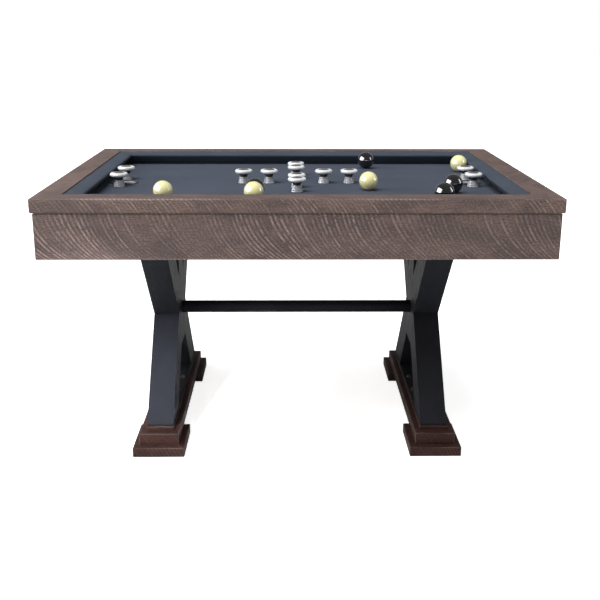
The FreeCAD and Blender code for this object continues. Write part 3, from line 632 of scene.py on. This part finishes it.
def make_frame(look):
    """Four mitred rails on four aprons, with the return openings in the end aprons."""
    loop = rail_loop()
    girth = girth_of(loop)
    arris = girth[[i for i, p in enumerate(loop) if p[1] > RAIL_TOP - 0.1 * MM][0]] - 1.5 * MM
    for seed, side in enumerate(SIDES):
        made, along, g, phase = relief_bar(
            "sawn_rail_" + side, side, loop, girth, rail_relief(loop), look["rail"],
            ("rail_" + side,), rail_marks(seed), seed + 11)
        worn_edge(made, along, g, phase, arris, 1.9 * MM, seed)
        sharp_by_angle(made, 50)
    loop = apron_loop()
    girth = girth_of(loop)
    depth = [APRON_RELIEF if p[0] < OVERHANG + 0.5 * MM and p[1] < APRON_TOP - 3 * MM else 0.0
             for p in loop]
    lower_arris = APRON_TOP - APRON_LOW.z + REBATE
    for seed, side in enumerate(SIDES):
        made, along, g, phase = relief_bar(
            "sawn_apron_" + side, side, loop, girth, depth, look["apron"],
            ("apron_" + side,), apron_marks(seed), seed + 31)
        worn_edge(made, along, g, phase, lower_arris, 2.2 * MM, seed + 40)
        if side in ("left", "right"):
            cut_window(made, side)
        sharp_by_angle(made, 50)


def cut_window(made, side):
    """The return opening of an end apron, its corners rounded, cut through the relief board."""
    wide, radius = WINDOW_HALF - WINDOW_CORNER, WINDOW_CORNER
    low, high = WINDOW_BOTTOM + radius, WINDOW_TOP - radius
    outline = []
    for y, z, start in ((wide, high, 0), (-wide, high, 90), (-wide, low, 180), (wide, low, 270)):
        outline += arc((y, z), radius, start, start + 90, 10)
    sign = -1 if side == "left" else 1
    ends = (sign * (HALF_LENGTH - 60 * MM), sign * (HALF_LENGTH + 20 * MM))
    points = [(x, y, z) for x in ends for y, z in outline]
    count = len(outline)
    faces = [(j, (j + 1) % count, count + (j + 1) % count, count + j) for j in range(count)]
    faces += [tuple(range(count)), tuple(range(count, 2 * count))]
    cutter = piece("window_cutter", points, faces, made.data.materials[0])
    cut = made.modifiers.new("window", "BOOLEAN")
    cut.operation, cut.solver, cut.object = "DIFFERENCE", "EXACT", cutter
    apply_modifiers(made)
    bpy.data.objects.remove(cutter, do_unlink=True)


def apply_modifiers(made):
    graph = bpy.context.evaluated_depsgraph_get()
    mesh = bpy.data.meshes.new_from_object(made.evaluated_get(graph))
    made.modifiers.clear()
    made.data = mesh


# ---- cloth ----
def cushion_path(skin, count):
    """The cushion's section from the rail over the nose to the bed, moved in by skin."""
    depth = RUBBER_DEPTH + 1.0 * MM - RAIL_WIDTH
    radius = NOSE_RADIUS - skin
    centre = (RAIL_WIDTH + depth - NOSE_RADIUS, BED_Z + NOSE_HEIGHT)
    crown, under = CUSHION_CROWN, CUSHION_UNDERCUT
    nose = arc(centre, radius, 90 - CUSHION_SLOPE * crown, -(90 - under), count)
    rise = math.tan(math.radians(CUSHION_SLOPE))
    back = (RAIL_WIDTH, nose[0][1] + (nose[0][0] - RAIL_WIDTH) * rise)
    foot = (nose[-1][0] - (nose[-1][1] - BED_Z) / math.tan(math.radians(under)), BED_Z)
    top = [(back[0] + (nose[0][0] - back[0]) * t, back[1] + (nose[0][1] - back[1]) * t ** crown)
           for t in np.linspace(0.0, 1.0, 13)[:-1]]
    path = top + nose
    return path + [tuple(p) for p in np.linspace(nose[-1], foot, 9)[1:]]


def cushion_skin(side, look):
    """The cloth of one cushion: tucked into the rail, drawn over the nose and down to the bed."""
    outer, inner = np.array(cushion_path(0.0, 10)), np.array(cushion_path(CLOTH_SKIN, 10))
    tuck = np.exp(-((outer[:, 0] - RAIL_WIDTH) / (2.2 * MM)) ** 2)
    tuck *= outer[:, 1] > BED_Z + 30 * MM
    outer[:, 1] -= 1.6 * MM * tuck
    inner[:, 1] -= 1.2 * MM * tuck
    loop = np.concatenate([outer, inner[::-1]])
    along, inset, z = bar_grid(side, loop, 6 * MM)
    half = half_of(side)
    to_mitre = (half - inset) - np.abs(along)
    # small puckers that die away from each mitre
    pull = 0.5 * MM * np.exp(-to_mitre / (18 * MM)) * np.sin(to_mitre / (5.5 * MM))
    ripple = 0.12 * MM * waves(SIDES.index(side) + 60, 6, 8.0, 60.0)(along, inset * 3)
    on_top = (z > BED_Z + 20 * MM) & (inset > RAIL_WIDTH + 4 * MM)
    z = z + np.where(on_top, pull + ripple, 0.0) - np.where(on_top, 0.5 * MM, 0.0)
    points = to_world(side, along, inset, z).reshape(-1, 3)
    rows, cols = along.shape
    count = len(outer)
    faces = ring_faces(rows, cols, caps=False)
    for row in (0, rows - 1):
        faces += [(row * cols + j, row * cols + j + 1, row * cols + cols - 2 - j,
                   row * cols + cols - 1 - j) for j in range(count - 1)]
    made = piece("cushion_cloth_" + side, points, faces, look["cushion"],
                 replaced=("cushion_cloth",))
    sharp_by_angle(made, 60)


def cushion_core(side, look):
    """The gum rubber under the cloth, with the moulded hollow in its back."""
    path = cushion_path(1.2 * MM, 8)
    back = RAIL_WIDTH + 0.3 * MM
    path = [(max(x, back), min(z, path[0][1])) for x, z in path]
    path = path[:-1] + [(path[-1][0], BED_Z + 0.3 * MM)]
    hollow = ((0.0, 0.3), (0.0, 8.0), (3.0, 12.0), (3.0, 18.0), (0.0, 22.0))
    loop = path + [(back + x * MM, BED_Z + z * MM) for x, z in hollow]
    along, inset, z = bar_grid(side, loop, 20 * MM)
    made = piece("cushion_core_" + side, to_world(side, along, inset, z).reshape(-1, 3),
                 ring_faces(*along.shape), look["gum"],
                 replaced=("cushion_rubber_" + side,))
    sharp_by_angle(made, 40)


def bed_sheet(look):
    """The playing cloth, glued flat over the board with the two pockets cut out."""
    low, high = CLOTH_LOW, CLOTH_HIGH
    pocket_x = corners("pocket_liners")[1].x - POCKET_FLANGE
    curve = bpy.data.curves.new("bed_outline", "CURVE")
    curve.dimensions, curve.fill_mode = "2D", "BOTH"
    curve.extrude = (high.z - low.z) / 2 - 0.02 * MM
    rim = [(low.x, low.y), (high.x, low.y), (high.x, high.y), (low.x, high.y)]
    dense = []
    for a, b in zip(rim, rim[1:] + rim[:1]):
        dense += [tuple(p) for p in np.linspace(a, b, 41)[:-1]]
    outlines = [dense]
    for sign in (-1, 1):
        outlines.append(arc((sign * pocket_x, 0.0), POCKET_THROAT, 0, 360, 72)[:-1])
    for outline in outlines:
        spline = curve.splines.new("POLY")
        spline.points.add(len(outline) - 1)
        for point, (x, y) in zip(spline.points, outline):
            point.co = (x, y, 0, 1)
        spline.use_cyclic_u = True
    flat = add_object("bed_outline", curve)
    graph = bpy.context.evaluated_depsgraph_get()
    mesh = bpy.data.meshes.new_from_object(flat.evaluated_get(graph))
    bpy.data.objects.remove(flat, do_unlink=True)
    points = [(v.co.x, v.co.y, v.co.z + (low.z + high.z) / 2) for v in mesh.vertices]
    made = piece("bed_sheet", points, [tuple(p.vertices) for p in mesh.polygons], look["bed"],
                 smooth=False, replaced=("bed_cloth",))
    bm = bmesh.new()
    bm.from_mesh(made.data)
    bmesh.ops.remove_doubles(bm, verts=bm.verts, dist=MERGE)
    bmesh.ops.recalc_face_normals(bm, faces=bm.faces)
    bm.to_mesh(made.data)
    bm.free()


# ---- turned pieces ----
def turned(name, profile, centres, look, slot, replaced, segments=72, angle=35):
    """One closed lathed shape at each centre.

    The profile is a closed loop of radius and height, or an open one whose ends lie on the axis.
    """
    profile = np.array(profile)
    on_axis = profile[0][0] < 1e-7
    rows = profile[1:-1] if on_axis else profile
    angles = np.linspace(0, math.tau, segments, endpoint=False)
    points, faces = [], []
    for x, y in centres:
        base = len(points)
        for radius, z in rows:
            points += [(x + radius * math.cos(a), y + radius * math.sin(a), z) for a in angles]
        count = len(rows)
        for i in range(count - 1 if on_axis else count):
            n = (i + 1) % count
            faces += [(base + i * segments + j, base + i * segments + (j + 1) % segments,
                       base + n * segments + (j + 1) % segments, base + n * segments + j)
                      for j in range(segments)]
        if on_axis:
            low, high = len(points), len(points) + 1
            points += [(x, y, profile[0][1]), (x, y, profile[-1][1])]
            last = base + (count - 1) * segments
            faces += [(low, base + (j + 1) % segments, base + j) for j in range(segments)]
            faces += [(high, last + j, last + (j + 1) % segments) for j in range(segments)]
    made = piece(name, points, faces, look, replaced=replaced)
    sharp_by_angle(made, angle)
    return made


def bumper_places():
    """Eight in a centre cross and a pair at each end pocket."""
    cross = [s * d for s in (-1, 1) for d in (BUMPER_NEAR, BUMPER_FAR)]
    ends = [(sx * BUMPER_END_X, sy * BUMPER_END_Y) for sx in (-1, 1) for sy in (-1, 1)]
    return [(d, 0.0) for d in cross] + [(0.0, d) for d in cross] + ends


def above(z, pairs):
    """A profile from pairs of radius and height over z, in millimetres."""
    return [(radius * MM, z + height * MM) for radius, height in pairs]


def base_profile():
    """Four rounded ribs, each a little smaller than the one below."""
    z, ribs, pitch, taper = BED_Z, 4, 5.0, 1.12
    profile = [(STUD_BORE, z + 0.1 * MM), (17.1 * MM, z + 0.1 * MM)]
    for k in range(ribs):
        r, h = (17.4 - taper * k) * MM, z + pitch * k * MM
        profile += [(r, h + 0.5 * MM), (r + 0.1 * MM, h + 1.6 * MM), (r - 0.1 * MM, h + 2.8 * MM),
                    (r - 0.5 * MM, h + 3.6 * MM), (r - 1.3 * MM, h + 4.0 * MM),
                    (r - 1.9 * MM, h + 4.45 * MM)]
        if k < ribs - 1:
            profile.append((r - 1.5 * MM, h + 4.9 * MM))
    return profile + [(11.4 * MM, z + 19.95 * MM), (STUD_BORE, z + 19.95 * MM)]


def head_profile(ring_low, ring_high):
    """A short neck, a flange under the ring and a boss inside it."""
    boss_top = ring_high - 4.0 * MM
    profile = [(STUD_BORE, BED_Z + 20.0 * MM)]
    profile += above(BED_Z, ((11.3, 20.0), (11.0, 21.0), (11.4, 22.2)))
    profile += above(ring_low, ((13.4, -4.6), (17.6, -2.4), (19.4, -1.4), (20.0, -0.7),
                                (19.8, -0.05), (16.4, -0.02)))
    return profile + [(16.4 * MM, boss_top), (STUD_BORE, boss_top)]


def ring_profile(low, high):
    """Round outside, square with small rounds against the cap."""
    middle, inner = (low + high) / 2, RING_INNER
    profile = [(RING_OUTER + RING_ROUND * math.cos(a) - RING_ROUND,
                middle + (high - middle) * math.sin(a))
               for a in np.linspace(-math.pi / 2, math.pi / 2, 17)]
    profile += [(inner + 1.4 * MM, high), (inner + 0.5 * MM, high - 0.4 * MM),
                (inner + 0.05 * MM, high - 1.3 * MM), (inner + 0.05 * MM, low + 1.3 * MM),
                (inner + 0.5 * MM, low + 0.4 * MM), (inner + 1.4 * MM, low)]
    return profile


def cap_profile(low, top, ring_high):
    """A low dome with a worn step near its rim."""
    edge = CAP_RADIUS
    fall = top - ring_high - CAP_EDGE_RISE
    dome = [(edge * share, top - fall * share ** 2 - 0.03 * MM)
            for share in (0.93, 0.86, 0.76, 0.64, 0.5, 0.35, 0.18)]
    dome[1] = (dome[1][0], dome[1][1] - 0.22 * MM)
    side = [(0.0, low), (edge - 0.4 * MM, low), (edge - 0.05 * MM, low + 0.5 * MM),
            (edge - 0.02 * MM, ring_high + 0.1 * MM), (edge - 0.3 * MM, ring_high + 0.55 * MM)]
    return side + dome + [(0.0, top - 0.02 * MM)]


def make_bumpers(look):
    places = bumper_places()
    ring_low, ring_high = (c.z for c in corners("bumper_rings"))
    cap_low, cap_top = (c.z for c in corners("bumper_caps"))
    turned("bumper_bases_ribbed", base_profile(), places, look["base"], "bumper_base",
           ("bumper_bases",))
    turned("bumper_heads_turned", head_profile(ring_low, ring_high), places, look["head"],
           "bumper_head", ("bumper_heads",), angle=50)
    turned("bumper_rings_rubber", ring_profile(ring_low, ring_high), places, look["ring"],
           "bumper_ring", ("bumper_rings",), segments=96, angle=60)
    turned("bumper_caps_domed", cap_profile(cap_low, cap_top, ring_high), places, look["cap"],
           "bumper_head", ("bumper_caps",), angle=45)


def make_liners(look):
    """Dark pocket rims. The wall inside is pale down to a step."""
    low, high = corners("pocket_liners")
    flange, bore, outside = POCKET_FLANGE, POCKET_BORE, POCKET_BORE + POCKET_WALL
    x, z = high.x - flange, BED_Z
    rim = [(bore + 0.5 * MM, low.z), (outside, low.z), (outside, z + 0.02 * MM),
           (flange - 0.4 * MM, z + 0.05 * MM), (flange - 0.05 * MM, z + 0.5 * MM),
           (flange - 0.6 * MM, z + 1.3 * MM), (flange - 2.4 * MM, z + 1.95 * MM),
           (bore + 4.5 * MM, z + 2.0 * MM), (bore + 2.2 * MM, z + 1.6 * MM),
           (bore + 0.8 * MM, z + 0.7 * MM), (bore + 0.1 * MM, z - 0.6 * MM),
           (bore + 0.05 * MM, z - 1.0 * MM), (bore + 0.05 * MM, z - PALE_DEPTH),
           (bore + 0.5 * MM, z - PALE_DEPTH - 0.4 * MM)]
    made = turned("pocket_rims", rim, [(-x, 0.0), (x, 0.0)], look["liner"], "pocket_liner",
                  ("pocket_liners",), segments=96, angle=50)
    made.data.materials.append(look["pale_liner"])
    for face in made.data.polygons:
        radius = math.hypot(abs(face.center.x) - x, face.center.y)
        inside = radius < bore + 0.3 * MM and z - PALE_DEPTH < face.center.z < z - 0.8 * MM
        face.material_index = 1 if inside else 0


# ---- balls ----
def make_ball(node, look):
    """A sphere made from a cube's grid, so that it has no poles."""
    low, high = corners(node)
    centre, radius = (low + high) / 2, (high.x - low.x) / 2
    shell = bmesh.new()
    bmesh.ops.create_cube(shell, size=2.0)
    bmesh.ops.subdivide_edges(shell, edges=shell.edges, cuts=27, use_grid_fill=True)
    for vertex in shell.verts:
        even = Vector([math.tan(c * math.pi / 4) for c in vertex.co])
        vertex.co = even.normalized() * radius + centre
    mesh = bpy.data.meshes.new(node + "_polished")
    shell.to_mesh(mesh)
    shell.free()
    made = add_object(node + "_polished", mesh)
    colour = "yellow" if node.startswith("yellow") else "black"
    mesh.materials.append(look[colour])
    mesh.shade_smooth()
    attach(made, node)
    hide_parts(node)


# ---- feet ----
def block_axis(low, high, edge, size):
    """Places along one side of a block, close together in its rounded ends."""
    inner = steps(low + edge, high - edge, size)
    ends = [0.0, 0.3, 0.65]
    return [low + edge * e for e in ends] + inner + [high - edge * e for e in ends[::-1]]


def relief_block(name, low, high, edge, size, look, seed, depth, node):
    """A rounded block that lies along y, its dense skin sunk between saw marks."""
    axes = [block_axis(low[k], high[k], edge, size) for k in range(3)]
    index, points, faces = {}, [], []

    def vertex(key):
        if key not in index:
            index[key] = len(points)
            points.append([axes[k][key[k]] for k in range(3)])
        return index[key]

    for k in range(3):
        m, n = [(1, 2), (0, 2), (0, 1)][k]
        for side in (0, len(axes[k]) - 1):
            for i in range(len(axes[m]) - 1):
                for j in range(len(axes[n]) - 1):
                    quad = []
                    for di, dj in ((0, 0), (1, 0), (1, 1), (0, 1)):
                        key = [0, 0, 0]
                        key[k], key[m], key[n] = side, i + di, j + dj
                        quad.append(vertex(tuple(key)))
                    faces.append(tuple(quad))
    cube = np.array(points)
    core = np.clip(cube, np.array(low) + edge, np.array(high) - edge)
    out = cube - core
    normal = out / np.maximum(np.linalg.norm(out, axis=1), 1e-9)[:, None]
    x, y, z = cube.T
    facing = np.abs(normal) > 0.7
    along = np.where(facing[:, 1], x, y)
    across = np.where(facing[:, 1] | facing[:, 0], z, x)
    pitch = 11 * MM
    phase = (along + 0.5 * across + 2.0 * across ** 2) / pitch
    phase = phase + 0.4 * waves(seed, 6, 5, 30)(along, across)
    strength = mark_strength(phase, seed)
    underneath = normal[:, 2] <= -0.7
    sunk = depth * (1.0 - strength * ridge_of(phase)) * ~underneath
    skin = core + normal * (edge - sunk)[:, None]
    made = piece(name, skin, faces, look, replaced=(node,))
    near = np.sort(np.abs(normal), axis=1)[:, 1]
    rub = np.clip(0.3 + 0.8 * waves(seed + 3, 6, 10.0, 60.0)(along, across), 0.0, 1.0)
    for key, values in (("gu", along + seed), ("gv", across), ("phase", phase), ("amp", strength),
                        ("wear", np.clip(near * 1.3, 0, 1) * rub * 0.8)):
        write_attribute(made, key, values)


def make_feet(look):
    """Two long beams, each on two pads and under one raised collar."""
    wood = look["foot"]
    for seed, side in enumerate(("left", "right")):
        low, high = corners("foot_beam_" + side)
        relief_block("sawn_foot_beam_" + side, low, high, 2.5 * MM, 5 * MM, wood, seed + 70,
                     FOOT_RELIEF, "foot_beam_" + side)
    pads_low, pads_high = corners("foot_pads")
    collars_low, collars_high = corners("foot_collars")
    seed = 80
    for side, sign in (("left", -1), ("right", 1)):
        middle = sum(c.x for c in corners("foot_beam_" + side)) / 2
        near, far = middle - PAD_HALF_WIDTH, middle + PAD_HALF_WIDTH
        for end, name in ((-1, "front"), (1, "rear")):
            ys = sorted((end * pads_high.y, end * (pads_high.y - PAD_LENGTH)))
            relief_block(f"sawn_foot_pad_{side}_{name}", (near, ys[0], pads_low.z),
                         (far, ys[1], pads_high.z), 2.5 * MM, 4 * MM, wood, seed,
                         FOOT_RELIEF, "foot_pads")
            seed += 1
        half = collars_high.x - sign * middle
        relief_block(f"sawn_foot_collar_{side}", (middle - half, collars_low.y, collars_low.z),
                     (middle + half, collars_high.y, collars_high.z), 1.5 * MM, 5 * MM, wood, seed,
                     COLLAR_RELIEF, "foot_collars")
        seed += 1


# ---- carried-over nodes ----
def dress(node, look, width):
    """A CAD node keeps its shape; it gets a finish and edges rounded over width."""
    made = NODES[node]
    made.data.materials.clear()
    made.data.materials.append(look)
    weld = made.modifiers.new("weld", "WELD")
    weld.merge_threshold = MERGE
    bevel = made.modifiers.new("bevel", "BEVEL")
    bevel.width, bevel.segments = width, 2
    bevel.limit_method, bevel.angle_limit = "ANGLE", math.radians(30)
    bevel.use_clamp_overlap = True
    bevel.harden_normals = True


def dress_nodes(look):
    """Steel, fixings, trays and the woodwork under the bed."""
    for side in ("left", "right"):
        dress(side + "_post", look["steel"], 1.2 * MM)
        for arm in ("upper_front", "upper_rear", "lower_front", "lower_rear"):
            dress(f"{side}_{arm}_arm", look["steel"], 1.2 * MM)
        dress("ball_tray_" + side, look["tray"], 1.0 * MM)
    dress("top_plates", look["steel"], 0.6 * MM)
    dress("foot_plates", look["steel"], 0.6 * MM)
    dress("stretcher_tube", look["steel"], 0.4 * MM)
    dress("stretcher_plugs", look["bolt"], 0.3 * MM)
    for node in ("trestle_bolts", "foot_bolts", "stretcher_bolts"):
        dress(node, look["bolt"], 0.4 * MM)
    for node in ("rail_bolts", "bumper_studs", "tray_screws"):
        dress(node, look["zinc"], 0.3 * MM)
    dress("cross_beams", look["carcass"], 2.0 * MM)
    dress("corner_blocks", look["carcass"], 1.5 * MM)
    dress("bed_cleats", look["cleat"], 1.5 * MM)
    dress("bed_board", look["board"], 0.5 * MM)


# ---- stage ----
def area_light(name, place, target, size, power, colour=(1, 1, 1), spread=180):
    data = bpy.data.lights.new(name, "AREA")
    data.shape, data.size, data.size_y = "RECTANGLE", size[0], size[1]
    data.energy, data.color, data.spread = power, colour, math.radians(spread)
    made = add_object(name, data)
    made.location = place
    made.rotation_euler = (Vector(target) - Vector(place)).to_track_quat("-Z", "Y").to_euler()
    made.visible_camera = False
    return made


def reflected_card(name, place, target, size, power):
    """A bright card that only shows as a reflection in glossy things."""
    area_light(name, place, target, size, power).visible_diffuse = False


def sun_light(name, towards, angle, strength):
    data = bpy.data.lights.new(name, "SUN")
    data.angle, data.energy = math.radians(angle), strength
    made = add_object(name, data)
    made.rotation_euler = Vector(towards).to_track_quat("Z", "Y").to_euler()
    made.visible_glossy = False


def make_world():
    """A dim studio with a pale band at the horizon, seen as plain white behind the object."""
    world = bpy.data.worlds.new("studio")
    bpy.context.scene.world = world
    world.use_nodes = True
    tree = world.node_tree
    back = tree.nodes["Background"]
    place = tree.nodes.new("ShaderNodeTexCoord")
    split = tree.nodes.new("ShaderNodeSeparateXYZ")
    tree.links.new(place.outputs["Generated"], split.inputs[0])
    band = tree.nodes.new("ShaderNodeMapRange")
    for socket, number in (("From Min", 0.02), ("From Max", 0.22), ("To Min", 0.48),
                           ("To Max", 0.22)):
        band.inputs[socket].default_value = number
    tree.links.new(split.outputs["Z"], band.inputs["Value"])
    path = tree.nodes.new("ShaderNodeLightPath")
    seen = tree.nodes.new("ShaderNodeMath")
    seen.operation = "MAXIMUM"
    tree.links.new(band.outputs[0], seen.inputs[0])
    tree.links.new(path.outputs["Is Camera Ray"], seen.inputs[1])
    tree.links.new(seen.outputs[0], back.inputs["Strength"])
    back.inputs["Color"].default_value = (1.0, 1.0, 1.0, 1.0)


def make_floor():
    """A pale floor that the camera sees a little brighter than the lights make it."""
    k = Look("pale_floor", roughness=0.8)
    k.shader.inputs["Emission Color"].default_value = (1.0, 1.0, 1.0, 1.0)
    path = k.node("ShaderNodeLightPath")
    glow = k.math("MULTIPLY", path.outputs["Is Camera Ray"], 0.8)
    k.feed(glow, k.shader.inputs["Emission Strength"])
    drift = k.noise(k.place(), 0.7, 2.0)
    k.colour(k.mix(drift, (0.90, 0.90, 0.905), (0.93, 0.93, 0.93)))
    mesh = bpy.data.meshes.new("floor")
    reach, level = 40.0, -0.3 * MM
    mesh.from_pydata([(-reach, -reach, level), (reach, -reach, level), (reach, reach, level),
                      (-reach, reach, level)], [], [(0, 1, 2, 3)])
    mesh.materials.append(k.material)
    add_object("floor", mesh)


def make_stage():
    make_floor()
    make_world()
    middle = (0, 0, 0.8)
    sun_light("overhead", (-0.25, -0.28, 0.93), 50, 3.1)
    area_light("window", (-5.5, -1.5, 2.1), middle, (4.0, 2.4), 170)
    area_light("side_fill", (3.0, -0.9, 1.5), (0, 0, 0.85), (0.7, 1.6), 5)
    legs = area_light("leg_light", (-0.9, -1.6, 1.25), (-0.42, -0.31, 0.22), (0.2, 0.2), 1.4,
                      (0.84, 0.9, 1.0), 18)
    legs.visible_glossy = False
    reflected_card("card_left", (-2.0, -0.6, 1.8), middle, (3.2, 1.9), 220)
    reflected_card("card_right", (2.2, -0.3, 1.6), middle, (0.25, 1.3), 12)
    reflected_card("card_front", (0.0, -6.0, 1.05), middle, (8.0, 0.5), 60)
    bpy.context.scene.view_settings.view_transform = "Standard"


def main():
    make_camera()
    look = make_looks()
    make_frame(look)
    for side in SIDES:
        cushion_core(side, look)
        cushion_skin(side, look)
    bed_sheet(look)
    make_bumpers(look)
    make_liners(look)
    for node in sorted(n for n in NODES if "_ball_" in n):
        make_ball(node, look)
    make_feet(look)
    dress_nodes(look)
    make_stage()


main()
